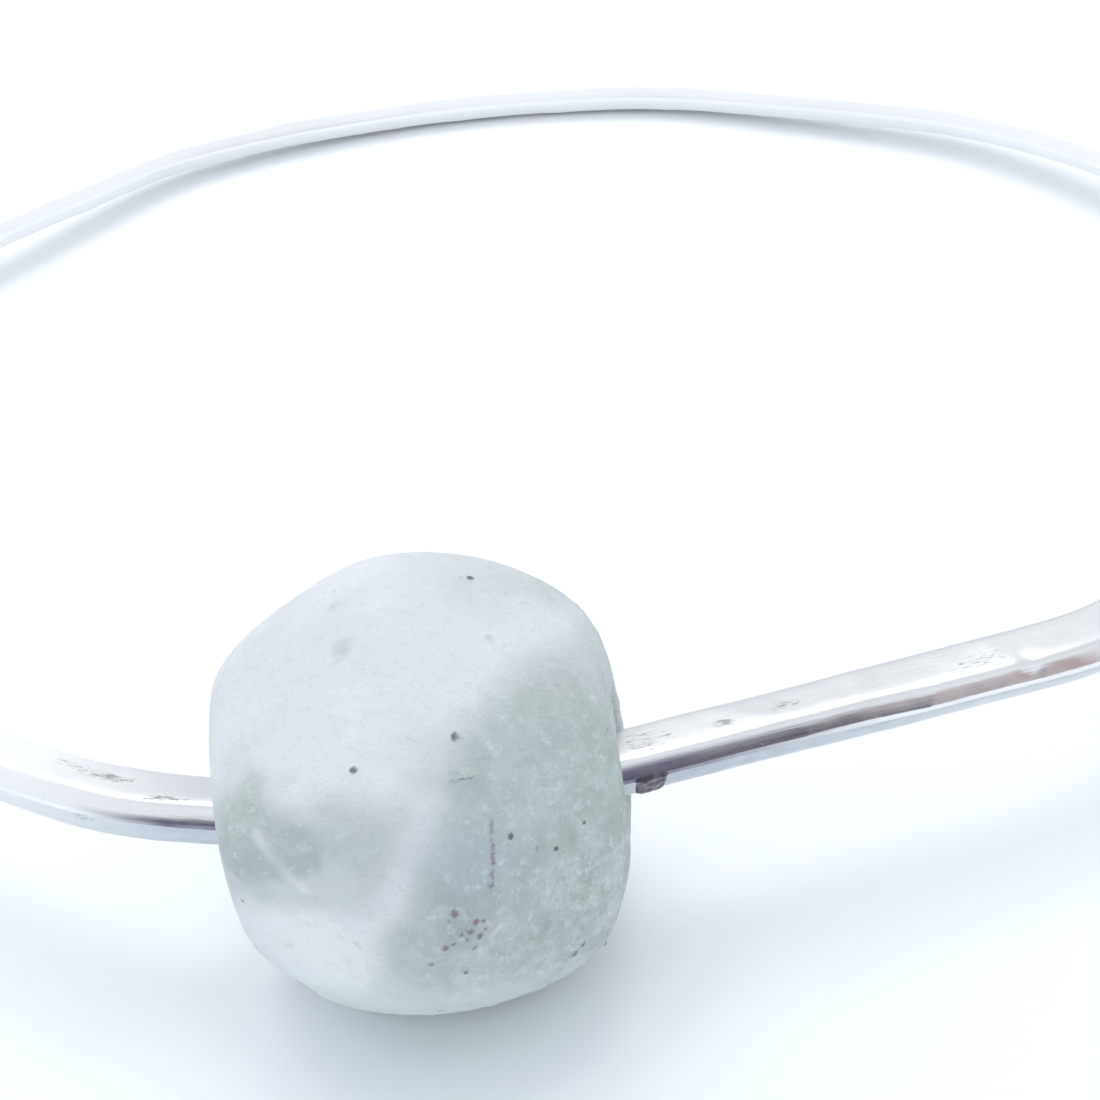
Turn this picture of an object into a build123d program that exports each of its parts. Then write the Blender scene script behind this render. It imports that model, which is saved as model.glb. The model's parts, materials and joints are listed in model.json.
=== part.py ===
"""Bangle bracelet: a hand-forged silver hoop that carries one large loose stone bead.

Millimetres, +Z up.  The bracelet lies on a table at z = 0, the way it comes to rest by itself:
the bead stands on the table in front (-Y) and carries the hoop there, and the hoop's underside
touches the table at the back (+Y).  The origin is on the table, below the hoop's centre.
"""
from build123d import *
from math import asin, atan2, cos, hypot, radians, sin, sqrt, tan
import os

os.makedirs("parts", exist_ok=True)

# Hoop: a wire ring with a flat hammered top and a round belly, with four runs beaten straight
hoop_radius = 33.3  # of the wire's centreline where the ring is still round
hoop_flats = ((20, 1.8), (154, 0.6), (233, 1.7), (327, 1.1))  # degrees from the bead, depth
bend_radius = 14.0  # where a straight run meets the round
wire_width = 2.2  # towards the hoop's centre
wire_height = 1.4  # along the hoop's axis
wire_edge = 0.15  # corner radius beside the flat top
wire_belly = 0.85  # corner radius underneath

# Solder joint that closes the hoop
seam_angle = 13.5  # from the bead's middle, to the right as seen from the front
seam_gap = 0.15  # solder left between the two wire ends
solder_length = 1.9  # the solder that ran out along the wire's underside
solder_proud = 0.12

# Bead: a tumbled stone with a hole along X
bead_length = 12.7
bead_depth = 13.0  # from the outside of the bracelet to the wrist side
bead_above = 6.85  # from the hole's axis to the top
bead_below = 6.4  # from the hole's axis to the table
bead_roundness = 0.42  # corner radius of its cross-section, as a share of its depth
end_share = 0.5  # size of the end faces, as a share of the middle
girth_power = 2.4  # 2 gives an ellipse, more gives squarer shoulders
girth_places = (-1, -0.82, -0.55, 0, 0.55, 0.82, 1)  # shares of the half length
worn_side = 6.9  # from the hole's axis to the flat worn on the upper left
worn_tilt = 37  # of that flat, from level
worn_round = 1.5
mouth_round = 0.4  # at both ends of the hole
bore_clearance = 0.12  # least gap between the wire and the hole, at any place on the hoop

# The wire bows inside the straight hole and runs in and out of round past it.
deepest_flat = max(depth for angle, depth in hoop_flats)
inner_run = sqrt((hoop_radius - deepest_flat) ** 2 - (bead_length / 2) ** 2)
bore_distance = (hoop_radius + inner_run) / 2  # from the hoop's centre to the hole's axis
wire_wander = (hoop_radius - inner_run) / 2  # of the wire's centreline about the hole's axis
edge_reach = hypot(wire_width / 2 - wire_edge + wire_wander, wire_height / 2 - wire_edge) + wire_edge
bore_radius = edge_reach + bore_clearance

# The hoop leans back from the hole's axis until its underside touches the table.
belly_x = wire_width / 2 - wire_belly
belly_z = wire_height / 2 - wire_belly
lean_arm = hoop_radius + bore_distance + belly_x
lean = asin((bead_below - wire_belly) / hypot(lean_arm, belly_z)) - atan2(belly_z, lean_arm)
centre_height = bead_below - bore_distance * sin(lean)
hoop_plane = Plane(origin=(0, 0, centre_height), x_dir=(1, 0, 0), z_dir=(0, sin(lean), cos(lean)))
bore_centre = hoop_plane.from_local_coords(Vector(0, -bore_distance, 0))


def hoop_outline(outset):
    """The hoop's outline in its own plane, this far outside the wire's centreline."""
    with BuildSketch() as outline:
        Circle(hoop_radius + outset)
        for angle, depth in hoop_flats:
            with Locations(Rotation(0, 0, angle - 90) * Location((hoop_radius + outset - depth, 0))):
                Rectangle(hoop_radius, 2 * hoop_radius, align=(Align.MIN, Align.CENTER), mode=Mode.SUBTRACT)
        fillet(outline.vertices(), bend_radius + outset)
    return outline.sketch


def wire_section():
    """The wire's cross-section: X towards the outside of the hoop, Y along its axis."""
    with BuildSketch() as section:
        Rectangle(wire_width, wire_height)
        fillet(section.vertices().group_by(Axis.Y)[-1], wire_edge)
        fillet(section.vertices().group_by(Axis.Y)[0], wire_belly)
    return section.sketch


def girth(place):
    """The bead's size at this share of its half length, as a share of its middle."""
    fall = 1 - end_share**girth_power
    return (1 - fall * abs(place) ** girth_power) ** (1 / girth_power)


# The joint lies on the first straight run: X outwards, Y along the wire, Z along the hoop's axis.
seam_run_angle, seam_run_depth = hoop_flats[0]
seam_reach = hoop_radius - seam_run_depth
seam_along = seam_reach * tan(radians(seam_angle - seam_run_angle))
seam = hoop_plane.location * Rotation(0, 0, seam_run_angle - 90) * Location((seam_reach, seam_along))
wire_end = Plane(seam * Rotation(90, 0, 0))
wire_underside = Plane(seam).offset(-wire_height / 2)

with BuildPart() as hoop:
    with BuildSketch(hoop_plane):
        add(hoop_outline(wire_width / 2))
        add(hoop_outline(-wire_width / 2), mode=Mode.SUBTRACT)
    extrude(amount=wire_height / 2, both=True)
    rims = hoop.edges().filter_by(lambda edge: abs((edge % 0.5).dot(hoop_plane.z_dir)) < 0.5)
    rims = rims.group_by(Axis(hoop_plane.origin, hoop_plane.z_dir))
    fillet(rims[-1], wire_edge)
    fillet(rims[0], wire_belly)
    with Locations(seam):
        Box(2 * wire_width, seam_gap, 2 * wire_height, mode=Mode.SUBTRACT)
hoop.part.label = "hoop"
export_step(hoop.part, "parts/hoop.step")

with BuildPart() as solder_seam:
    with BuildSketch(wire_end):
        add(wire_section())
    extrude(amount=seam_gap / 2, both=True)
    with BuildSketch(wire_underside):
        Ellipse(belly_x, solder_length / 2)
    extrude(amount=-solder_proud)
    fillet(solder_seam.faces().sort_by(Axis((0, 0, 0), hoop_plane.z_dir))[0].edges(), solder_proud / 2)
solder_seam.part.label = "solder_seam"
export_step(solder_seam.part, "parts/solder_seam.step")

bead_lift = (bead_above - bead_below) / 2
bead_height = bead_above + bead_below
with BuildPart() as bead:
    for place in girth_places:
        share = girth(place)
        section_centre = bore_centre + Vector(place * bead_length / 2, 0, bead_lift * share)
        with BuildSketch(Plane(origin=section_centre, x_dir=(0, 1, 0), z_dir=(1, 0, 0))):
            RectangleRounded(bead_depth * share, bead_height * share, bead_roundness * bead_depth * share)
    loft()
    worn_normal = Vector(-sin(radians(worn_tilt)), 0, cos(radians(worn_tilt)))
    worn_flat = Plane(origin=bore_centre + worn_normal * worn_side, z_dir=worn_normal)
    split(bisect_by=worn_flat, keep=Keep.BOTTOM)
    fillet(bead.faces().sort_by(Axis(bore_centre, worn_normal))[-1].edges(), worn_round)
    with Locations(Plane(origin=bore_centre, z_dir=(1, 0, 0))):
        Cylinder(bore_radius, 2 * bead_length, mode=Mode.SUBTRACT)
    mouths = bead.edges().filter_by(GeomType.CIRCLE).filter_by(lambda edge: abs(edge.radius - bore_radius) < 0.01)
    fillet(mouths, mouth_round)
bead.part.label = "bead"
export_step(bead.part, "parts/bead.step")
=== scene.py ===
"""Bangle bracelet: a hammered silver hoop closed by a solder joint, with one loose frosted bead.

Units are metres in the part's own frame.  Shapes are worked out in millimetres and divided by MM.
"""

import json
import math

import bpy
import numpy as np
from mathutils import Matrix, Vector


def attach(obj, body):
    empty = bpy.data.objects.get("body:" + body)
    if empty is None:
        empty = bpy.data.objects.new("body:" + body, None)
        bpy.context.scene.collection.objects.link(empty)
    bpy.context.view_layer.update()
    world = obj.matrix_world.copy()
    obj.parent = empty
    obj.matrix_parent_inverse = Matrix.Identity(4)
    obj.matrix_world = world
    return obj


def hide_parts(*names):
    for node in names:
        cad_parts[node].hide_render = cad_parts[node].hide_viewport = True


MM = 1000.0

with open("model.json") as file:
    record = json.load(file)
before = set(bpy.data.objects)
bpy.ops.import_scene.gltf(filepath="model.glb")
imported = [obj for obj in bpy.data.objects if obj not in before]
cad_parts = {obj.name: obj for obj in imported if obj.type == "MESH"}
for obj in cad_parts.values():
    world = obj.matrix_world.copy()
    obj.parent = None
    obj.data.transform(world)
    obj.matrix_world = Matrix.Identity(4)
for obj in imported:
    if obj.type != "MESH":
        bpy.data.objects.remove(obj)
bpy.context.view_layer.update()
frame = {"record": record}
joint = frame["record"]["behaviour"]["joints"][0]

# Hoop, in its own plane: a round ring with runs beaten straight, angles from the bead
HOOP_RADIUS = 33.3
HOOP_FLATS = ((20, 1.8), (154, 0.6), (233, 1.7), (327, 1.1))
BEND_SOFTNESS = 0.3
RUN_REACH = 0.5  # cosine of the widest angle from a run's middle at which it still shapes the ring
RUN_LIMIT = 5.0  # most that a straight run's line counts as lying outside the round
ROW_STEP = 0.11  # between the points along the wire
SEAM_ANGLE = 13.5

# Solder, from the joint: its ends, then its lump
SOLDER_ENDS = (-1.9, 0.6)
SOLDER_DEPTH = 0.02  # below the wire's skin, away from the lump
LUMP_SHIFT = 0.85  # towards the bead
LUMP_LENGTH, LUMP_RAGGED, LUMP_HEIGHT = 0.55, 0.2, 0.10

# Faces of the wire's section: direction from level, and distance from its middle.  The top is
# hammered flat, the sides slope in towards it and the belly is round.
WIRE_FACES = ((90, 0.70), (62, 0.93), (33, 0.98), (155, 1.08), (-26, 0.96), (-142, 0.88), (-90, 0.70))
WIRE_ROUNDNESS = 16  # the lower, the rounder its edges
WIRE_GIRTH = 5.97  # about the length right round the section
WIRE_LIFT = 0.06  # of the section above the wire's centreline

# Bead, about the middle of its hole: the wire bows as far to either side of the hole's axis
BEAD_LENGTH = 12.7
DEEPEST_RUN = HOOP_RADIUS - max(depth for _, depth in HOOP_FLATS)
HOLE_DISTANCE = (HOOP_RADIUS + math.sqrt(DEEPEST_RUN**2 - (BEAD_LENGTH / 2) ** 2)) / 2
HOLE_RADIUS = 2.55
MOUTH_ROUND = 0.45

centre = np.array(joint["pos_m"]) * MM
hoop_z = np.array(joint["axis"]) / np.linalg.norm(joint["axis"])
hoop_x = np.array((1.0, 0.0, 0.0))
hoop_y = np.cross(hoop_z, hoop_x)
bead_centre = centre - HOLE_DISTANCE * hoop_y


# ---------------------------------------------------------------- noise
def lattice(cells, seed):
    """A repeatable random number from 0 to 1 for each whole-number cell."""
    key = cells[..., 0] * 73856093 ^ cells[..., 1] * 19349663 ^ cells[..., 2] * 83492791
    key = (key + seed * 2654435761) & 0xFFFFFFFF
    key = ((key ^ key >> 16) * 0x45D9F3B) & 0xFFFFFFFF
    key = ((key ^ key >> 16) * 0x45D9F3B) & 0xFFFFFFFF
    return (key ^ key >> 16) / 0xFFFFFFFF


def smooth_noise(points, size, seed):
    """Soft lumps of about this size, from -1 to 1."""
    place = points / size
    cell = np.floor(place).astype(np.int64)
    step = place - cell
    step = step * step * (3 - 2 * step)
    total = np.zeros(points.shape[:-1])
    for corner in np.ndindex(2, 2, 2):
        share = np.prod(np.where(corner, step, 1 - step), axis=-1)
        total += share * lattice(cell + np.array(corner), seed)
    return total * 2 - 1


def rough_noise(points, size, seed, layers=4):
    """Soft lumps with finer ones on top."""
    total = np.zeros(points.shape[:-1])
    for layer in range(layers):
        total += smooth_noise(points, size / 2**layer, seed + layer) / 2**layer
    return total / 2


def bump_at(points, spot, size):
    """1 at the spot, falling smoothly to 0 over about this size."""
    return np.exp(-np.sum(((points - np.array(spot)) / size) ** 2, axis=-1))


def mesh_object(name, points, faces, material):
    mesh = bpy.data.meshes.new(name)
    mesh.from_pydata((points / MM).tolist(), [], faces)
    mesh.polygons.foreach_set("use_smooth", [len(face) == 4 for face in faces])
    mesh.materials.append(material)
    made = bpy.data.objects.new(name, mesh)
    bpy.context.scene.collection.objects.link(made)
    return made


def tube_faces(rows, columns, closed_rows=True):
    """Faces of a grid that closes on itself across, and along as well unless told otherwise."""
    row, column = np.meshgrid(np.arange(rows if closed_rows else rows - 1), np.arange(columns), indexing="ij")
    row, column = row.ravel(), column.ravel()
    next_row, next_column = (row + 1) % rows, (column + 1) % columns
    corners = (row * columns + column, row * columns + next_column,
               next_row * columns + next_column, next_row * columns + column)
    return np.stack(corners, axis=-1).tolist()


# ---------------------------------------------------------------- hoop
def run_radius(angle):
    """Distance of the wire's centreline from the hoop's centre, at this angle from the bead."""
    total = np.ones_like(angle)
    for run_angle, depth in HOOP_FLATS:
        lean = np.cos(angle - math.radians(run_angle))
        straight = (HOOP_RADIUS - depth) / np.maximum(lean, RUN_REACH)
        straight = np.where(lean > RUN_REACH, straight, 2 * HOOP_RADIUS)
        past = np.minimum(straight, HOOP_RADIUS + RUN_LIMIT) - HOOP_RADIUS
        total += np.exp(-past / BEND_SOFTNESS)
    return HOOP_RADIUS - BEND_SOFTNESS * np.log(total)


def in_plane(angle, radius):
    """Points in the hoop's plane, relative to its centre."""
    return radius[:, None] * (np.sin(angle)[:, None] * hoop_x - np.cos(angle)[:, None] * hoop_y)


fine_angle = np.linspace(0, 2 * math.pi, 14401)
fine_line = in_plane(fine_angle, run_radius(fine_angle))
fine_length = np.concatenate(([0], np.cumsum(np.linalg.norm(np.diff(fine_line, axis=0), axis=1))))
HOOP_LENGTH = fine_length[-1]
seam_place = np.interp(math.radians(SEAM_ANGLE), fine_angle, fine_length)


def wire_frame(place):
    """Centre, outward direction and angle of the wire at these lengths from the bead's middle."""
    angle = np.interp(np.mod(place, HOOP_LENGTH), fine_length, fine_angle)
    here = in_plane(angle, run_radius(angle))
    before, after = (in_plane(angle + step, run_radius(angle + step)) for step in (-1e-3, 1e-3))
    along = after - before
    along /= np.linalg.norm(along, axis=1)[:, None]
    outward = np.cross(along, hoop_z)
    return centre + here, outward, angle


def wire_section(columns):
    """Points, normals and length round the section, from its outermost point over the top, with the
    points closer together where it bends."""
    turn = np.linspace(0, 2 * math.pi, 2881)
    total = np.zeros_like(turn)
    for degrees, distance in WIRE_FACES:
        total += (np.maximum(0, np.cos(turn - math.radians(degrees))) / distance) ** WIRE_ROUNDNESS
    fine = total[:, None] ** (-1 / WIRE_ROUNDNESS) * np.stack((np.cos(turn), np.sin(turn)), axis=-1)
    step = np.diff(fine, axis=0)
    heading = np.unwrap(np.arctan2(step[:, 1], step[:, 0]))
    length = np.concatenate(([0], np.cumsum(np.hypot(step[:, 0], step[:, 1]))))
    bend = np.concatenate(([0], np.cumsum(np.abs(np.diff(heading))), [0]))
    bend[-1] = 2 * math.pi
    spacing = length / length[-1] + bend / bend[-1]
    wanted = np.arange(columns) / columns * spacing[-1]
    section = np.stack([np.interp(wanted, spacing, fine[:, axis]) for axis in (0, 1)], axis=-1)
    tangent = np.roll(section, -1, axis=0) - np.roll(section, 1, axis=0)
    normal = np.stack((tangent[:, 1], -tangent[:, 0]), axis=-1)
    normal /= np.linalg.norm(normal, axis=1)[:, None]
    return section, normal, np.interp(wanted, spacing, length)


def hammered(place, across, blow_every, depth, tilt, seed):
    """Height left by overlapping flat-faced hammer blows along the wire: each one a slightly tilted
    shallow hollow, with a low ridge where two of them meet."""
    random = np.random.default_rng(seed)
    count = int(HOOP_LENGTH / blow_every)
    middle = (np.arange(count) + random.uniform(-0.35, 0.35, count)) * HOOP_LENGTH / count
    sink = random.uniform(0, depth, count)
    slope = random.uniform(-tilt, tilt, count)
    height = np.full((len(place), len(across)), 1e3)
    for shift in (-1, 0, 1, 2):
        which = (np.searchsorted(middle, np.mod(place, HOOP_LENGTH)) + shift - 1) % count
        gap = np.abs(np.mod(place, HOOP_LENGTH) - middle[which])
        gap = np.minimum(gap, HOOP_LENGTH - gap)
        bowl = (gap / blow_every) ** 2 * depth * 1.6 - sink[which]
        height = np.minimum(height, bowl[:, None] + slope[which][:, None] * across[None, :])
    return height


# Hammer blows on the top, the belly and the sides: spacing, depth, tilt and random seed
TOP_BLOWS, BELLY_BLOWS, SIDE_BLOWS = (3.1, 0.03, 0.035, 11), (2.8, 0.03, 0.03, 12), (3.6, 0.03, 0.04, 13)
SKIN_SIZE, SKIN_DEPTH = 0.5, 0.005  # of the finest unevenness

# Twist of the section, in degrees, at these angles from the bead: the top leans outwards.
TWIST_ANGLES = (0, 14, 40, 60, 110, 180, 240, 300, 330, 348, 360)
TWIST_DEGREES = (2, 4, 10, 8, 5, 6, 4, 0, -5, -1, 2)

# A notch knocked into the outer edge of the top: place along the wire, length, squared width, depth
NICK_PLACE, NICK_SIZE, NICK_WIDTH_SQUARED, NICK_DEPTH = 19.7, 0.35, 0.12, 0.06
OUTER_EDGE = (0.74, 0.66)

# Width of the section along the hoop, as a share of its usual width
BROAD_ANGLES = (0, 18, 36, 50, 90, 200, 345, 360)
BROAD_SHARES = (1.0, 1.0, 1.09, 1.06, 0.98, 1.03, 1.04, 1.0)

# Depth of its lower half in the same way
DEEP_ANGLES = (0, 325, 346, 360)
DEEP_SHARES = (1.0, 1.0, 1.28, 1.0)


def wire_surface(place, columns, outset=0.0):
    """The hammered wire's surface, row by row; outset is one height per row and column."""
    middle, outward, angle = wire_frame(place)
    section, normal, around = wire_section(columns)
    twist = np.radians(np.interp(np.degrees(angle), TWIST_ANGLES, TWIST_DEGREES))
    top = np.clip(normal[:, 1], 0, 1) ** 2
    under = np.clip(-normal[:, 1], 0, 1) ** 2
    side = np.clip(np.abs(normal[:, 0]), 0, 1) ** 2
    height = top * hammered(place, section[:, 0], *TOP_BLOWS)
    height += under * hammered(place, section[:, 0], *BELLY_BLOWS)
    height += side * hammered(place, section[:, 1], *SIDE_BLOWS)
    nick = np.exp(-((place - NICK_PLACE) / NICK_SIZE) ** 2)[:, None]
    at_ridge = np.exp(-((section - np.array(OUTER_EDGE)) ** 2).sum(-1) / NICK_WIDTH_SQUARED)
    height -= NICK_DEPTH * nick * at_ridge[None, :]
    flat = np.stack((np.broadcast_to(np.mod(place, HOOP_LENGTH)[:, None], height.shape),
                     np.broadcast_to(around[None, :], height.shape), np.zeros_like(height)), axis=-1)
    height += SKIN_DEPTH * rough_noise(flat, SKIN_SIZE, 21, 3)
    local = section[None] + normal[None] * (height + outset)[..., None]
    local[..., 1] += WIRE_LIFT
    local[..., 0] *= np.interp(np.degrees(angle), BROAD_ANGLES, BROAD_SHARES)[:, None]
    deep = np.interp(np.degrees(angle), DEEP_ANGLES, DEEP_SHARES)[:, None]
    local[..., 1] *= np.where(local[..., 1] < 0, deep, 1)
    turn, lift = np.cos(twist)[:, None], np.sin(twist)[:, None]
    x = local[..., 0] * turn + local[..., 1] * lift
    z = -local[..., 0] * lift + local[..., 1] * turn
    points = middle[:, None] + x[..., None] * outward[:, None] + z[..., None] * hoop_z
    return points, flat


def set_uv(made, values, columns):
    """A UV map that gives each corner its length along and round the wire, in millimetres."""
    mesh = made.data
    layer = mesh.uv_layers.new(name="wire")
    corner = np.empty(len(mesh.loops), dtype=np.int64)
    mesh.loops.foreach_get("vertex_index", corner)
    uv = values.reshape(-1, 3)[corner, :2]
    # The last strip of each row ends at the full way round, not back at nothing.
    sides = np.empty(len(mesh.polygons), dtype=np.int64)
    mesh.polygons.foreach_get("loop_total", sides)
    quads = 4 * np.count_nonzero(sides == 4)
    place = np.arange(quads) % 4
    wrapped = np.flatnonzero((corner[:quads] % columns == 0) & ((place == 1) | (place == 2)))
    uv[wrapped, 1] += WIRE_GIRTH
    # A strip that crosses the bead's middle runs on past the wire's full length.
    along = uv[:quads, 0].reshape(-1, 4)
    along += np.where((along.max(axis=1) - along.min(axis=1) > 1)[:, None] & (along < 1), HOOP_LENGTH, 0)
    layer.data.foreach_set("uv", uv.ravel())


def make_hoop(material, columns=64):
    """The whole ring: its joint is filed flush, so only the solder's lump shows where it is."""
    rows = int(HOOP_LENGTH / ROW_STEP)
    points, flat = wire_surface(np.arange(rows) / rows * HOOP_LENGTH, columns)
    made = mesh_object("forged_hoop", points.reshape(-1, 3), tube_faces(rows, columns), material)
    set_uv(made, flat, columns)
    return made


def make_solder(material, columns=64, rows=90):
    """Solder in the joint, just below the wire's skin, with a lump that ran out along the outer
    underside towards the bead."""
    offset = np.linspace(*SOLDER_ENDS, rows)
    section, normal, around = wire_section(columns)
    flat = np.stack((np.broadcast_to(offset[:, None], (rows, columns)),
                     np.broadcast_to(around[None, :], (rows, columns)), np.zeros((rows, columns))), axis=-1)
    lumps = rough_noise(flat, 0.4, 31)
    spread = LUMP_LENGTH + LUMP_RAGGED * smooth_noise(flat * np.array((0, 1, 0)), 0.7, 33)
    dome = np.clip(1 - ((offset[:, None] + LUMP_SHIFT) / spread) ** 2, 0, 1)
    below = np.clip(0.1 - normal[:, 1] + 0.55 * normal[:, 0], 0, 1) * (section[:, 0] > -0.3)
    height = LUMP_HEIGHT * dome * below[None, :] * (1 + 0.9 * lumps) - SOLDER_DEPTH
    points, wire_places = wire_surface(seam_place + offset, columns, height)
    faces = tube_faces(rows, columns, closed_rows=False)
    faces.append(list(range(columns))[::-1])
    faces.append([(rows - 1) * columns + column for column in range(columns)])
    made = mesh_object("solder_joint", points.reshape(-1, 3), faces, material)
    set_uv(made, wire_places, columns)
    return made


# ---------------------------------------------------------------- bead
# A rounded block, X along the hole, cut by worn flats: outward direction and distance from its middle.
BEAD_BLOCK = (7.25, 7.1, 7.3)
BEAD_POWER = 2.05
BEAD_EDGE = 22
BEAD_FLATS = (
    ((0.0, 0.0, -1.0), 6.40),
    ((0.06, 0.55, 0.83), 7.90),
    ((-0.56, 0.38, 0.73), 7.33),
    ((-0.99, -0.10, -0.03), 5.90),
    ((0.99, 0.11, 0.06), 6.55),
    ((0.96, -0.09, -0.25), 6.62),
    ((-0.60, -0.55, -0.58), 7.03),
    ((0.38, -0.57, -0.73), 7.10),
    ((-0.03, -0.59, -0.81), 6.65),
    ((0.98, 0.09, 0.17), 6.55),
    ((-0.37, -0.40, 0.84), 6.75),
    ((0.54, -0.80, 0.25), 6.72),
    ((-0.40, -0.91, -0.15), 6.80),
)


def bead_reach(direction):
    """Distance from the bead's middle to its surface."""
    block = sum(np.abs(direction[..., axis] / BEAD_BLOCK[axis]) ** BEAD_POWER for axis in range(3))
    total = block ** (BEAD_EDGE / BEAD_POWER)
    for outward, distance in BEAD_FLATS:
        outward = np.array(outward) / np.linalg.norm(outward)
        total = total + (np.maximum(0, direction @ outward) / distance) ** BEAD_EDGE
    return total ** (-1 / BEAD_EDGE)


def make_bead(material, rows=440, columns=600):
    around = np.arange(columns) / columns * 2 * math.pi
    mouth = HOLE_RADIUS + MOUTH_ROUND

    def point(swing):
        """Surface points at these angles from the hole's axis, for every angle round it."""
        out = np.sin(swing)
        direction = np.stack((np.cos(swing), out * np.cos(around), out * np.sin(around)), -1)
        return direction * bead_reach(direction)[..., None]

    def mouth_swing(start, end):
        """The angle at which the surface is as far from the hole's axis as its mouth."""
        low, high = np.full(columns, start), np.full(columns, end)
        for _ in range(40):
            middle = (low + high) / 2
            outside = np.linalg.norm(point(middle)[:, 1:], axis=1) > mouth
            high = np.where(outside, middle, high)
            low = np.where(outside, low, middle)
        return (low + high) / 2

    first, last = mouth_swing(0.05, 1.4), mouth_swing(math.pi - 0.05, math.pi - 1.4)
    share = (np.arange(rows) / (rows - 1))[:, None]
    swing = first + (last - first) * share
    skin = point(swing)
    radial = np.stack((0 * around, np.cos(around), np.sin(around)), -1)
    axis = np.array((1.0, 0.0, 0.0))
    lip = np.linspace(0, math.pi / 2, 14)[1:]
    right_x, left_x = skin[0, :, 0], skin[-1, :, 0]
    right_lip = [(right_x - MOUTH_ROUND * (1 - math.cos(turn)))[:, None] * axis
                 + (HOLE_RADIUS + MOUTH_ROUND * (1 - math.sin(turn))) * radial for turn in lip]
    left_lip = [(left_x + MOUTH_ROUND * (1 - math.cos(turn)))[:, None] * axis
                + (HOLE_RADIUS + MOUTH_ROUND * (1 - math.sin(turn))) * radial for turn in lip]
    wall = [left_lip[-1] + (right_lip[-1] - left_lip[-1]) * part for part in np.linspace(0, 1, 92)[1:-1]]
    surface = np.concatenate((skin, left_lip, wall, right_lip[::-1]))
    in_hole = np.zeros(len(surface))
    in_hole[rows + 4:len(surface) - 4] = 1

    tangent_a = np.roll(surface, -1, axis=0) - np.roll(surface, 1, axis=0)
    tangent_b = np.roll(surface, -1, axis=1) - np.roll(surface, 1, axis=1)
    normal = np.cross(tangent_b, tangent_a)
    normal /= np.linalg.norm(normal, axis=-1)[..., None]
    height = bead_relief(surface) * (1 - 0.97 * in_hole)[:, None]
    shaped = surface + normal * height[..., None]
    shaped[..., 2] = np.maximum(shaped[..., 2], -bead_centre[2])
    points = (shaped + bead_centre).reshape(-1, 3)
    made = mesh_object("worn_bead", points, tube_faces(len(surface), columns), material)
    for name, tint in bead_tints(surface).items():
        layer = made.data.attributes.new(name, "FLOAT", "POINT")
        layer.data.foreach_set("value", tint.ravel())
    return made


# The bead's marked face looks up and to the front.  Marks lie across it and up it, in millimetres
# from its middle.
FACE_ACROSS = np.array((0.996, 0.019, -0.084))
FACE_UP = np.array((0.059, 0.551, 0.832))
FACE_OUT = np.array((0.062, -0.834, 0.548))

# Hollows and swellings worn into it: across, up, size, height
BEAD_DENTS = (
    (-4.5, -1.0, 1.5, -0.30),
    (-3.0, -0.6, 0.8, -0.10),
    (1.9, -1.4, 1.7, -0.20),
    (-2.4, -4.2, 1.8, 0.10),
    (3.6, 1.8, 1.6, 0.08),
    (-1.2, 3.6, 2.2, 0.08),
)

# Pinholes and small pits: across, up, size, darkness
PINHOLES = (
    (1.56, 6.5, 0.13, 1.0), (1.30, 6.5, 0.09, 0.6), (-1.5, 1.15, 0.16, 0.8), (-6.05, 0.25, 0.11, 0.9),
    (1.35, 2.1, 0.19, 0.7), (-2.45, 6.1, 0.10, 0.5), (2.8, -0.73, 0.11, 1.0), (4.1, -1.2, 0.09, 0.9),
    (4.9, -0.5, 0.09, 0.8), (-5.65, -3.2, 0.10, 0.9), (-4.9, -2.8, 0.12, 0.6), (5.45, -4.6, 0.13, 1.0),
    (4.6, -4.5, 0.20, 0.7), (4.85, -4.2, 0.14, 0.6), (5.6, 2.1, 0.12, 0.6), (6.0, 2.4, 0.20, 0.8),
    (6.4, -1.1, 0.14, 0.9), (0.6, -4.4, 0.12, 0.8), (1.55, -4.7, 0.11, 0.7), (-6.3, 3.2, 0.09, 0.5),
    (0.75, -6.1, 0.18, 0.6), (2.3, -5.6, 0.15, 0.5), (3.6, -5.9, 0.13, 0.5), (-1.0, -6.1, 0.15, 0.4),
)

# Rust-brown specks: across, up, size, darkness
RUST_SPECKS = (
    (1.25, -2.9, 0.15, 0.9), (1.84, -3.15, 0.12, 1.0), (1.70, -3.45, 0.15, 0.9), (1.95, -3.6, 0.12, 1.0),
    (1.00, -3.9, 0.14, 0.9), (1.22, -3.8, 0.09, 0.9), (1.80, -3.95, 0.12, 0.8), (2.1, -3.4, 0.09, 0.8),
    (1.45, -3.5, 0.10, 0.7), (2.05, -3.15, 0.09, 0.8), (1.6, -3.7, 0.09, 0.7), (1.1, -3.1, 0.08, 0.7),
    (3.55, -1.15, 0.13, 0.6), (6.2, 1.2, 0.30, 0.8), (6.33, -0.6, 0.30, 0.8), (2.25, -2.1, 0.14, 0.7),
)

# Faint blotches: across, up, size, darkness
SMUDGES = (
    (-2.05, 4.5, 0.45, 0.55), (-2.4, 5.7, 0.28, 0.4), (2.05, 0.6, 0.38, 0.7), (1.3, 0.95, 0.30, 0.5),
    (-3.45, -5.7, 0.40, 0.7), (2.24, 4.8, 0.18, 0.6), (3.9, 5.9, 0.18, 0.4), (-4.2, -2.0, 0.8, 0.35),
    (0.4, 3.3, 0.5, 0.25), (4.3, -3.3, 0.7, 0.3), (0.2, 5.2, 0.8, 0.18),
)

# Depth of each kind of mark, and height of the ridge
PINHOLE_DEPTH, SPECK_DEPTH, SCRATCH_DEPTH, SCORE_DEPTH, RIDGE_RISE = 0.09, 0.05, 0.03, 0.05, 0.13

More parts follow.
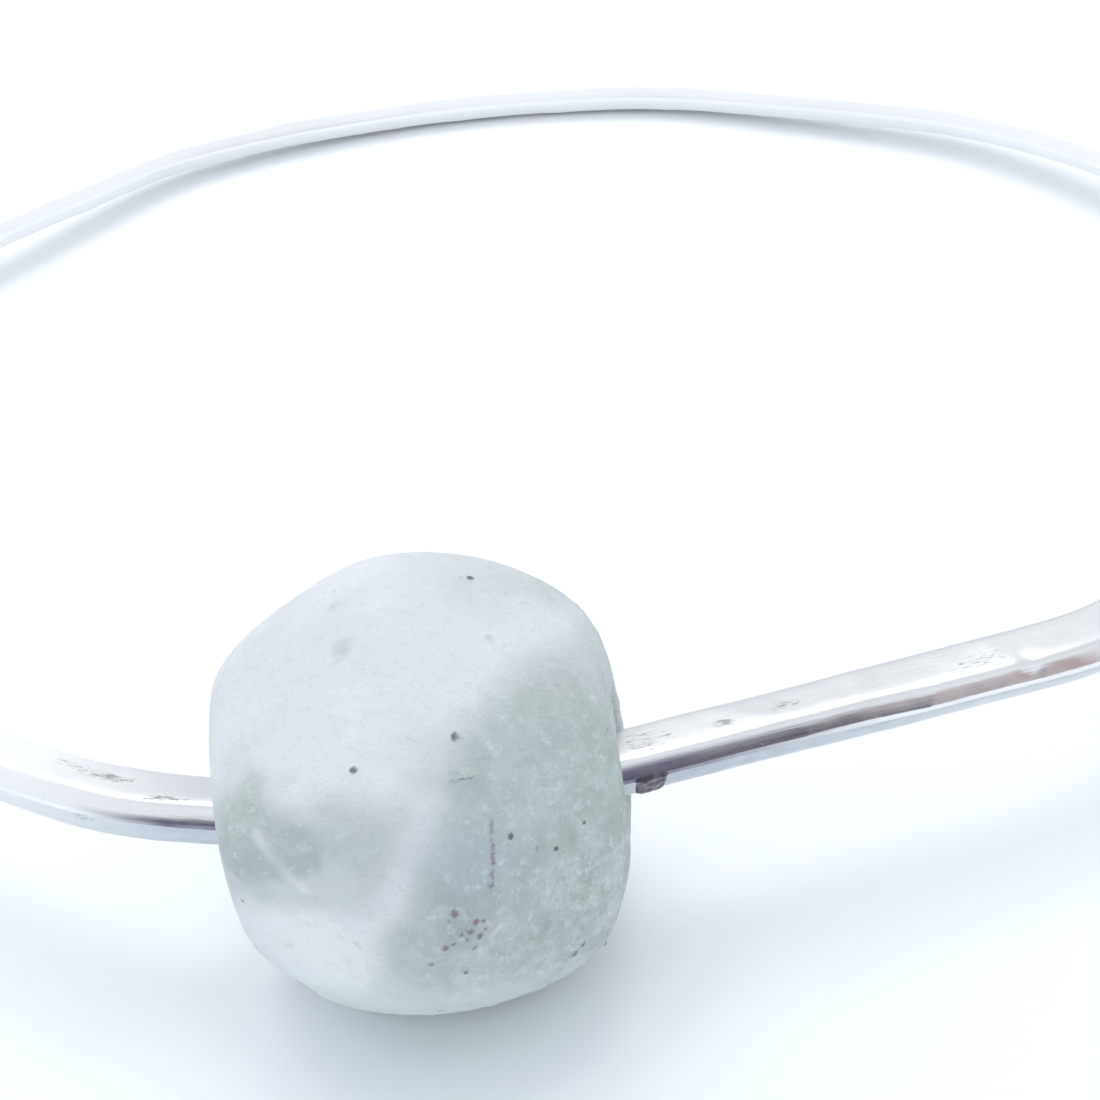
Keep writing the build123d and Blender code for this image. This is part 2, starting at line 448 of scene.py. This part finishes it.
# Unevenness all over the skin, broad and fine, then its grain and its pits where it is coarse
WAVE_SIZE, WAVE_DEPTH = 3.4, 0.06
LUMP_SIZE, LUMP_DEPTH = 1.1, 0.035
GRAIN_SIZE, SMOOTH_GRAIN, COARSE_GRAIN, GRAIN_PITS = 0.32, 0.005, 0.012, 0.02
PIT_SIZE, PIT_SHARE, PIT_DEPTH = 0.26, 0.62, 0.14

# Lines: start, end, width
RIDGE = ((0.5, 0.2), (-0.4, -2.7), 0.55)
SCRATCH = ((-4.15, -0.7), (-3.0, -2.25), 0.19)
SCORE = ((1.2, 0.86), (1.85, 0.96), 0.08)
RUST_LINE = ((2.3, -0.3), (2.28, -1.9), 0.12)


def face_point(across, up):
    """The place on the bead's smooth surface that lies this far across and up its marked face."""
    near, far = 0.0, 12.0
    for _ in range(40):
        depth = (near + far) / 2
        point = across * FACE_ACROSS + up * FACE_UP + depth * FACE_OUT
        reach = np.linalg.norm(point)
        inside = reach < bead_reach((point / reach)[None])[0]
        near, far = (depth, far) if inside else (near, depth)
    return point


def marks_at(points, marks):
    """1 at each round mark times its strength, falling to 0 over its size."""
    total = np.zeros(points.shape[:-1])
    for across, up, size, strength in marks:
        total = np.maximum(total, strength * bump_at(points, face_point(across, up), size))
    return total


def line_at(points, line):
    """1 along a straight mark on the face, falling to 0 over its width."""
    (start_across, start_up), (end_across, end_up), width = line
    start, end = face_point(start_across, start_up), face_point(end_across, end_up)
    run = end - start
    share = np.clip((points - start) @ run / (run @ run), 0, 1)
    nearest = start + share[..., None] * run
    return np.exp(-np.sum(((points - nearest) / width) ** 2, axis=-1))


def climb(value, start, end):
    """0 up to start and 1 from end on, with a smooth slope between."""
    share = np.clip((value - start) / (end - start), 0, 1)
    return share * share * (3 - 2 * share)


def grain_share(points):
    """Where the bead is coarse and pitted, towards its lower right, and where it is rubbed smooth."""
    lean = 0.10 * points[..., 0] - 0.10 * points[..., 2]
    return climb(lean + 0.5 * smooth_noise(points, 2.6, 46), -0.5, 0.9)


def bead_relief(points):
    """Height of the bead's worn and pitted skin above its smooth shape."""
    height = WAVE_DEPTH * smooth_noise(points, WAVE_SIZE, 41)
    height += LUMP_DEPTH * rough_noise(points, LUMP_SIZE, 42, 3)
    for across, up, size, rise in BEAD_DENTS:
        height += rise * bump_at(points, face_point(across, up), size)
    height += RIDGE_RISE * line_at(points, RIDGE)
    height -= SCRATCH_DEPTH * line_at(points, SCRATCH) + SCORE_DEPTH * line_at(points, SCORE)
    height -= PINHOLE_DEPTH * marks_at(points, PINHOLES) + SPECK_DEPTH * marks_at(points, RUST_SPECKS)
    grain = rough_noise(points, GRAIN_SIZE, 44, 3)
    coarse = grain_share(points)
    height += (SMOOTH_GRAIN + COARSE_GRAIN * coarse) * grain
    height += GRAIN_PITS * coarse * np.minimum(0, grain + 0.05)
    pits = smooth_noise(points, PIT_SIZE, 47)
    return height - PIT_DEPTH * coarse * np.clip(pits - PIT_SHARE, 0, 1)


def bead_tints(points):
    """How much of each tint the bead's skin has, and of the painted bounce light on its underside, from 0 to
    1, by name.
    """
    across, up, out = points @ FACE_ACROSS, points @ FACE_UP, points @ FACE_OUT
    front = climb(out, -1.0, 1.5)
    drift = 0.5 * rough_noise(points, 1.6, 52, 3)
    edge = 0.1 + 0.25 * up + 0.16 * np.maximum(0, up - 1.0) ** 2
    # The grey green laid over the lower right is partly the stone's own colour and partly painted shade on
    # the side turned from the light.
    right = climb(across - edge + 2.4 * drift, -1.1, 1.9) * (1 - 0.45 * climb(up + 2 * drift, 1.4, 4.8))
    rim = climb(-up + drift, 5.0, 6.4) * 0.85 + climb(up + drift, 4.4, 6.6) * climb(across, -3, 3) * 0.6
    hollow = bump_at(points, face_point(-4.7, -0.8), 2.0) + 0.6 * bump_at(points, face_point(-3.0, -1.3), 1.2)
    between = 0.6 * climb(-up + 1.5 * drift, -0.9, 0.6) * (1 - climb(-up + 1.5 * drift, 2.2, 3.8))
    green = np.maximum.reduce((right, rim, 1.1 * climb(hollow + drift, 0.1, 1.0), between + drift * 0.6))
    elsewhere = climb(smooth_noise(points, 4.5, 53) + 0.06 * (points[..., 0] - points[..., 2]), -0.5, 0.6)
    green = np.clip(front * green + (1 - front) * elsewhere, 0, 1)
    green *= 1 - 0.75 * line_at(points, RIDGE)
    blue = bump_at(points, face_point(1.8, -1.5), 1.7) + 0.5 * bump_at(points, face_point(-3.7, -1.6), 0.9)
    green *= 1 - 0.6 * line_at(points, SCRATCH)
    stain = np.maximum(marks_at(points, PINHOLES), 0.5 * line_at(points, SCORE))
    rust = np.maximum(marks_at(points, RUST_SPECKS), 0.55 * line_at(points, RUST_LINE))
    return {"green": green, "blue": np.clip(blue + 0.3 * drift, 0, 1), "stain": stain, "rust": rust,
            "smudge": marks_at(points, SMUDGES), "coarse": grain_share(points),
            # Painted light: the bead's underside is lightened for light thrown up by the floor.
            "bounce_light": 0.6 * climb(-up + drift, 4.0, 6.2),
            "chalk": np.clip(bump_at(points, face_point(-2.6, -4.2), 2.4) + 0.6 * drift, 0, 1)}


# ---------------------------------------------------------------- materials
class Term:
    """A node's output that can be used in sums: every operator adds a Math node."""

    def __init__(self, tree, socket):
        self.tree, self.socket = tree, socket

    def math(self, operation, *others):
        node = self.tree.nodes.new("ShaderNodeMath")
        node.operation = operation
        for place, term in zip(node.inputs, (self, *others)):
            plug(self.tree, place, term)
        return Term(self.tree, node.outputs[0])

    def __add__(self, other):
        return self.math("ADD", other)

    def __sub__(self, other):
        return self.math("SUBTRACT", other)

    def __mul__(self, other):
        return self.math("MULTIPLY", other)

    def __rsub__(self, other):
        node = self.tree.nodes.new("ShaderNodeMath")
        node.operation = "SUBTRACT"
        plug(self.tree, node.inputs[0], other)
        plug(self.tree, node.inputs[1], self)
        return Term(self.tree, node.outputs[0])

    __radd__, __rmul__ = __add__, __mul__

    def clip(self, low=0.0, high=1.0):
        return self.math("MAXIMUM", low).math("MINIMUM", high)

    def rise(self, start, end):
        """0 up to start and 1 from end on, with a straight slope between."""
        return ((self - start) * (1 / (end - start))).clip()


def plug(tree, place, term):
    if isinstance(term, Term):
        tree.links.new(term.socket, place)
    else:
        place.default_value = term


class Nodes:
    """The nodes of one material or of the world."""

    def __init__(self, tree):
        self.tree = tree
        self.tree.nodes.clear()

    def node(self, kind, settings=None, output=0, **values):
        """Any node: its settings first, then its sockets by name, or by number as i0, i1 and so on."""
        made = self.tree.nodes.new(kind)
        for key, setting in (settings or {}).items():
            setattr(made, key, setting)
        for key, value in values.items():
            place = made.inputs[int(key[1:])] if key[0] == "i" and key[1:].isdigit() else made.inputs[key]
            plug(self.tree, place, value)
        return Term(self.tree, made.outputs[output]) if made.outputs else None

    def parts(self, vector):
        """The X, Y and Z of a vector."""
        return [self.node("ShaderNodeSeparateXYZ", output=axis, i0=vector) for axis in range(3)]

    def noise(self, at, scale, detail=3.0, roughness=0.55, distortion=0.0):
        return self.node("ShaderNodeTexNoise", Vector=at, Scale=scale, Detail=detail, Roughness=roughness,
                         Distortion=distortion)

    def stretched(self, at, scale):
        return self.node("ShaderNodeVectorMath", {"operation": "MULTIPLY"}, i0=at, i1=scale)

    def layer(self, name):
        """One of the tints worked out for each point of the mesh."""
        return self.node("ShaderNodeAttribute", {"attribute_name": name}, output=2)

    def mix(self, share, first, second):
        """Colour that goes from first to second as share goes from 0 to 1."""
        colours = [(*value, 1.0) if isinstance(value, tuple) else value for value in (first, second)]
        return self.node("ShaderNodeMix", {"data_type": "RGBA"}, output=2, i0=share, i6=colours[0],
                         i7=colours[1])


class Finish(Nodes):
    """One material."""

    def __init__(self, name):
        self.material = bpy.data.materials.new(name)
        self.material.use_nodes = True
        super().__init__(self.material.node_tree)

    def surface(self, **values):
        shader = self.tree.nodes.new("ShaderNodeBsdfPrincipled")
        for key, value in values.items():
            plug(self.tree, shader.inputs[key.replace("_", " ")], value)
        output = self.tree.nodes.new("ShaderNodeOutputMaterial")
        self.tree.links.new(shader.outputs[0], output.inputs[0])
        return self.material


# Pits left by the forging: place along the wire and round it, reach along and round, strength
WIRE_SCARS = (
    (7.2, 1.5, 1.0, 0.8, 0.5),
    (9.6, 1.35, 0.5, 0.3, 0.9),
    (11.7, 1.45, 0.6, 0.3, 0.8),
    (18.3, 1.3, 1.6, 0.5, 0.35),
    (-10.0, 1.55, 1.3, 0.30, 0.9),
    (-11.6, 1.75, 1.0, 0.25, 0.6),
    (-7.7, 0.95, 0.9, 0.22, 0.9),
    (-10.2, 5.8, 0.6, 0.2, 0.5),
)


# Colours of the wire and its solder
BRIGHT, TARNISHED, SATIN_PAINTED_LIGHT = (0.91, 0.905, 0.905), (0.70, 0.69, 0.69), (0.98, 0.985, 0.99)
TOP_PAINTED_SHADE, BELLY_FLOOR_REFLECTION = (0.715, 0.72, 0.725), (0.57, 0.62, 0.67)
DARK_BAND_REFLECTION, PIT_DIRT, SOLDER_STAIN_AND_SHADE = (0.20, 0.19, 0.26), (0.28, 0.285, 0.27), (0.13, 0.105, 0.13)


def silver(made):
    """Colour, roughness, bump height and how metallic the wire's skin is."""
    wire = made.node("ShaderNodeUVMap", {"uv_map": "wire"})
    along, around, _ = made.parts(wire)
    cloudy = made.noise(wire, 0.35, 4.0)
    drawn = made.noise(made.stretched(wire, (0.6, 12.0, 1.0)), 1.0, 4.0, 0.6)
    mottled = made.noise(made.stretched(wire, (1.3, 3.0, 1.0)), 1.0, 5.0, 0.65)
    pocks = made.noise(made.stretched(wire, (2.6, 10.0, 1.0)), 1.0, 5.0, 0.7)
    # The wire is bright where the bead has rubbed it and turns satin towards the far side and along the left;
    # there its colour is also whitened as painted light.
    to_left = HOOP_LENGTH - along
    from_bead = along.math("MINIMUM", to_left)
    left_satin_and_painted_light = to_left.rise(7.0, 13.0) * 0.75 * to_left.rise(90.0, 60.0)
    satin_and_painted_light = from_bead.rise(22.0, 60.0).math("MAXIMUM", left_satin_and_painted_light)
    on_top = around.rise(0.62, 0.85) * (1 - around.rise(2.25, 2.6))
    belly = around.rise(4.9, 5.3)
    outer_side, outer_edge = 1 - around.rise(0.40, 0.66), 1 - around.rise(0.22, 0.36)
    scarred = 0.0
    for place, turn, reach, width, strength in WIRE_SCARS:
        aside, askew = (along - place % HOOP_LENGTH) * (1 / reach), (around - turn) * (1 / width)
        scarred = (1 - (aside * aside + askew * askew)).clip() * strength + scarred
    specks = made.noise(wire, 6.0, 2.0, 0.5).rise(0.70, 0.76) * cloudy.rise(0.5, 0.6)
    pitted = ((pocks - 0.60 + scarred * 0.22).rise(0.0, 0.16) * scarred.rise(0.0, 0.25) + specks * 0.5).clip()
    # Painted reflection: a dark band along the outer side on both sides of the bead, darkest against it
    dark_band = (1 - along.rise(7.6, 15.0)) * outer_side * 0.9 + (1 - to_left.rise(7.6, 10.5)) * outer_edge * 0.9
    dark_band = (dark_band * (mottled * 0.6 + 0.7)).clip()
    tarnish = (cloudy.rise(0.35, 0.8) * 0.25 + drawn.rise(0.5, 0.8) * 0.22).clip()
    colour = made.mix(tarnish, BRIGHT, TARNISHED)
    # Painted shade: the top face is coloured a darker grey to keep the lamp's reflection on it dim.
    colour = made.mix(on_top * 0.9, colour, TOP_PAINTED_SHADE)
    # Painted reflection: the belly is tinted blue grey for the floor and its shadow that it mirrors.
    colour = made.mix(belly * (mottled * 1.4 + 0.15).clip(), colour, BELLY_FLOOR_REFLECTION)
    # Painted light: the colour is whitened where the wire turns satin, for the washed-out far side and left
    # run.
    colour = made.mix(satin_and_painted_light * 0.8, colour, SATIN_PAINTED_LIGHT)
    # Painted reflection of the dark band along the outer side.
    colour = made.mix(dark_band, colour, DARK_BAND_REFLECTION)
    colour = made.mix(pitted * 0.85, colour, PIT_DIRT)
    roughness = 0.10 + on_top * 0.20 + satin_and_painted_light * 0.30 + drawn.rise(0.45, 0.85) * 0.08 + (pitted + dark_band) * 0.25
    height = drawn * 0.25 + cloudy * 0.3 - pitted * 0.5
    return colour, roughness.clip(), height, (1 - pitted * 0.8) * (1 - satin_and_painted_light * 0.5)


def silver_finish():
    made = Finish("hammered_silver")
    colour, roughness, height, metal = silver(made)
    bump = made.node("ShaderNodeBump", Strength=0.4, Distance=0.00005, Height=height)
    return made.surface(Base_Color=colour, Metallic=metal, Roughness=roughness, Normal=bump)


def solder_finish():
    """Filed flush and bright over the top, dark and lumpy along the outer underside: partly solder stain,
    partly painted shade and dark reflection.
    """
    made = Finish("silver_solder")
    colour, roughness, height, metal = silver(made)
    wire = made.node("ShaderNodeUVMap", {"uv_map": "wire"})
    _, around, _ = made.parts(wire)
    lumps = made.noise(wire, 3.2, 4.0, 0.65)
    below = (around.rise(3.9, 4.6) + (1 - around.rise(0.1, 0.35))).clip()
    dark = (below * (lumps.rise(0.62, 0.40) * 0.4 + 0.6)).clip()
    # Partly solder stain, partly painted shade and dark reflection under the lump.
    colour = made.mix(dark, colour, SOLDER_STAIN_AND_SHADE)
    bump = made.node("ShaderNodeBump", Strength=0.5, Distance=0.00006, Height=height + lumps * below)
    return made.surface(Base_Color=colour, Metallic=metal, Roughness=roughness + dark * 0.35, Normal=bump)


# Colours of the stone: rubbed pale skin, grey-green moss, its chalky form where the skin is coarse,
# and the tints that lie over them
PALE_DARK, PALE_LIGHT = (0.70, 0.715, 0.74), (0.78, 0.79, 0.81)
PALE_PATCH, CHALK = (0.64, 0.68, 0.70), (0.85, 0.86, 0.87)
MOSS_DARK, MOSS_LIGHT = (0.39, 0.445, 0.425), (0.55, 0.605, 0.585)
CHALKY_DARK, CHALKY_LIGHT = (0.46, 0.515, 0.495), (0.71, 0.76, 0.74)
BLUE, FLOOR_BOUNCE_LIGHT, SMUDGE = (0.42, 0.48, 0.52), (0.80, 0.86, 0.85), (0.42, 0.47, 0.49)
RUST, DIRT = (0.25, 0.17, 0.20), (0.13, 0.135, 0.13)
GRAIN_LIGHT, GRAIN_DARK, GRAIN_FINE = (0.83, 0.86, 0.86), (0.42, 0.46, 0.44), (0.36, 0.40, 0.38)


def stone_finish():
    made = Finish("frosted_stone")
    at = made.node("ShaderNodeTexCoord", output=3)
    green, blue, coarse = made.layer("green"), made.layer("blue"), made.layer("coarse")
    clouds = made.noise(at, 420.0, 5.0, 0.62)
    patches = made.noise(at, 900.0, 6.0, 0.72)
    fine = made.noise(at, 2600.0, 5.0, 0.75)
    grains = made.noise(at, 8500.0, 3.0, 0.65)
    wander = (clouds - 0.5) * 1.3 + (patches - 0.5) * 1.1 + (fine - 0.5) * 0.7
    # Rubbed pale skin over the stone's own grey green, with a bluer hollow; the grey green towards the lower
    # right is partly painted shade
    pale = made.mix(clouds.rise(0.35, 0.7), PALE_DARK, PALE_LIGHT)
    pale = made.mix(patches.rise(0.50, 0.72) * 0.5, pale, PALE_PATCH)
    pale = made.mix(made.layer("chalk"), pale, CHALK)
    moss = made.mix(patches.rise(0.36, 0.64), MOSS_DARK, MOSS_LIGHT)
    chalky = made.mix(patches.rise(0.36, 0.64), CHALKY_DARK, CHALKY_LIGHT)
    moss = made.mix(coarse.rise(0.45, 1.0) * 0.85, moss, chalky)
    colour = made.mix((green + wander * green.rise(0.0, 0.35) * 0.7).rise(0.08, 0.98), pale, moss)
    colour = made.mix((blue + wander * 0.35).rise(0.15, 1.05) * 0.75, colour, BLUE)
    # Powdery grains, lighter and darker, strongest where the skin is coarse or mossy
    grainy = coarse.math("MAXIMUM", green * 0.55)
    colour = made.mix(fine.rise(0.53, 0.68) * (0.10 + grainy * 0.60), colour, GRAIN_LIGHT)
    colour = made.mix(fine.rise(0.46, 0.32) * (0.16 + grainy * 0.55), colour, GRAIN_DARK)
    colour = made.mix(grains.rise(0.58, 0.72) * (0.14 + grainy * 0.42), colour, GRAIN_FINE)
    # Painted bounce light from the floor over the bead's underside.
    colour = made.mix(made.layer("bounce_light"), colour, FLOOR_BOUNCE_LIGHT)
    ragged = (fine - 0.5) * 1.6 + (grains - 0.5) * 1.2
    smudge = (made.layer("smudge") + ragged * 0.35).rise(0.15, 0.8) * 0.8
    rust = (made.layer("rust") + ragged * 0.8).rise(0.32, 0.70)
    stain = (made.layer("stain") + ragged * 0.6).rise(0.32, 0.68)
    colour = made.mix(smudge, colour, SMUDGE)
    colour = made.mix(rust * 0.85, colour, RUST)
    colour = made.mix(stain * 0.9, colour, DIRT)
    roughness = 0.60 + fine * 0.22
    height = patches * 0.8 + fine * (0.5 + coarse * 1.2) + grains * (0.15 + coarse * 0.6)
    bump = made.node("ShaderNodeBump", Strength=0.9, Distance=0.00012, Height=height)
    return made.surface(Base_Color=colour, Roughness=roughness, Normal=bump)


FLOOR_FRONT_SHADED, FLOOR_BACK = (0.84, 0.89, 0.95), (0.94, 0.95, 0.96)


def floor_finish():
    made = Finish("white_table")
    at = made.node("ShaderNodeTexCoord", output=3)
    _, back, _ = made.parts(at)
    # Painted shade: the floor turns darker and bluer towards the front for the light falling off, with faint
    # random patches.
    shade = (made.noise(at, 14.0, 3.0) - 0.5) * 0.3 + back.rise(-0.105, -0.01)
    colour = made.mix(shade.clip(), FLOOR_FRONT_SHADED, FLOOR_BACK)
    return made.surface(Base_Color=colour, Roughness=0.85)


# ---------------------------------------------------------------- pieces
hoop = make_hoop(silver_finish())
solder = make_solder(solder_finish())
bead = make_bead(stone_finish())

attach(hoop, "hoop")
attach(solder, "hoop")
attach(bead, "bead")
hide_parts("hoop")
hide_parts("solder_seam")
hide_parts("bead")

# ---------------------------------------------------------------- stage
FLOOR_HALF = 1.5
floor_mesh = bpy.data.meshes.new("table_top")
floor_mesh.from_pydata([(x * FLOOR_HALF, y * FLOOR_HALF, 0) for x, y in ((-1, -1), (1, -1), (1, 1), (-1, 1))],
                       [], [(0, 1, 2, 3)])
floor_mesh.materials.append(floor_finish())
floor = bpy.data.objects.new("table_top", floor_mesh)
bpy.context.scene.collection.objects.link(floor)


def aim(made, place, target):
    made.location = place
    made.rotation_mode = "QUATERNION"
    made.rotation_quaternion = (Vector(target) - Vector(place)).to_track_quat("-Z", "Y")


def soft_light(name, place, target, size, power, colour=(1.0, 1.0, 1.0)):
    data = bpy.data.lights.new(name, "AREA")
    data.shape, data.size, data.energy, data.color = "DISK", size, power, colour
    made = bpy.data.objects.new(name, data)
    bpy.context.scene.collection.objects.link(made)
    aim(made, place, target)


soft_light("window", (-0.05, 0.27, 0.80), (0, -0.01, 0), 0.7, 2.4, (1.0, 0.98, 0.95))

# An even pale room.  What the polished wire mirrors is the maker's side of it: a dim stretch low in
# front on either side, with a warm edge on the right.
ROOM, DIM, WARM = (0.89, 0.94, 1.0), (0.05, 0.045, 0.07), (0.50, 0.40, 0.41)
DIM_LEFT, DIM_RIGHT = (-0.80, -0.68), (0.64, 0.84)  # radians from straight in front
OPEN_LEFT, OPEN_RIGHT = (-0.50, -0.40), (0.32, 0.44)
WARM_LEFT, WARM_RIGHT = (0.66, 0.88), (0.98, 1.15)
DIM_BOTTOM, DIM_TOP = (-0.06, 0.0), (0.46, 0.60)  # height in a look of length 1
world = bpy.data.worlds.new("studio")
bpy.context.scene.world = world
world.use_nodes = True
room = Nodes(world.node_tree)
look_x, look_y, look_z = room.parts(room.node("ShaderNodeTexCoord"))
swing = look_x.math("ARCTAN2", look_y * -1.0)
low = look_z.rise(*DIM_BOTTOM) * (1 - look_z.rise(*DIM_TOP)) * room.node("ShaderNodeLightPath", output=3)
open_middle = swing.rise(*OPEN_LEFT) * (1 - swing.rise(*OPEN_RIGHT))
dim = low * swing.rise(*DIM_LEFT) * (1 - swing.rise(*DIM_RIGHT)) * (1 - open_middle)
warm = low * swing.rise(*WARM_LEFT) * (1 - swing.rise(*WARM_RIGHT))
tone = room.mix(warm, room.mix(dim, ROOM, DIM), WARM)
sky = room.node("ShaderNodeBackground", Color=tone, Strength=0.95)
room.node("ShaderNodeOutputWorld", Surface=sky)

# ---------------------------------------------------------------- camera
CAMERA_PLACE = (0.010796, -0.094131, 0.055226)
CAMERA_TURN, CAMERA_DROP, CAMERA_ROLL = 4.273, 33.208, -5.756
CAMERA_LENS, CAMERA_SHIFT = 85.14, (-0.0481, 0.0082)
camera_data = bpy.data.cameras.new("camera")
camera_data.sensor_width = 36.0
camera_data.lens = CAMERA_LENS
camera_data.shift_x, camera_data.shift_y = CAMERA_SHIFT
camera_data.clip_start, camera_data.clip_end = 0.005, 10.0
camera = bpy.data.objects.new("camera", camera_data)
bpy.context.scene.collection.objects.link(camera)
turn, drop, roll = (math.radians(value) for value in (CAMERA_TURN, CAMERA_DROP, CAMERA_ROLL))
forward = Vector((-math.sin(turn) * math.cos(drop), math.cos(turn) * math.cos(drop), -math.sin(drop)))
level = Vector((math.cos(turn), math.sin(turn), 0))
upward = level.cross(forward)
right = math.cos(roll) * level + math.sin(roll) * upward
top = math.cos(roll) * upward - math.sin(roll) * level
camera.matrix_world = Matrix.Translation(CAMERA_PLACE) @ Matrix((right, top, -forward)).transposed().to_4x4()
bpy.context.scene.camera = camera

bpy.context.scene.view_settings.view_transform = "Standard"
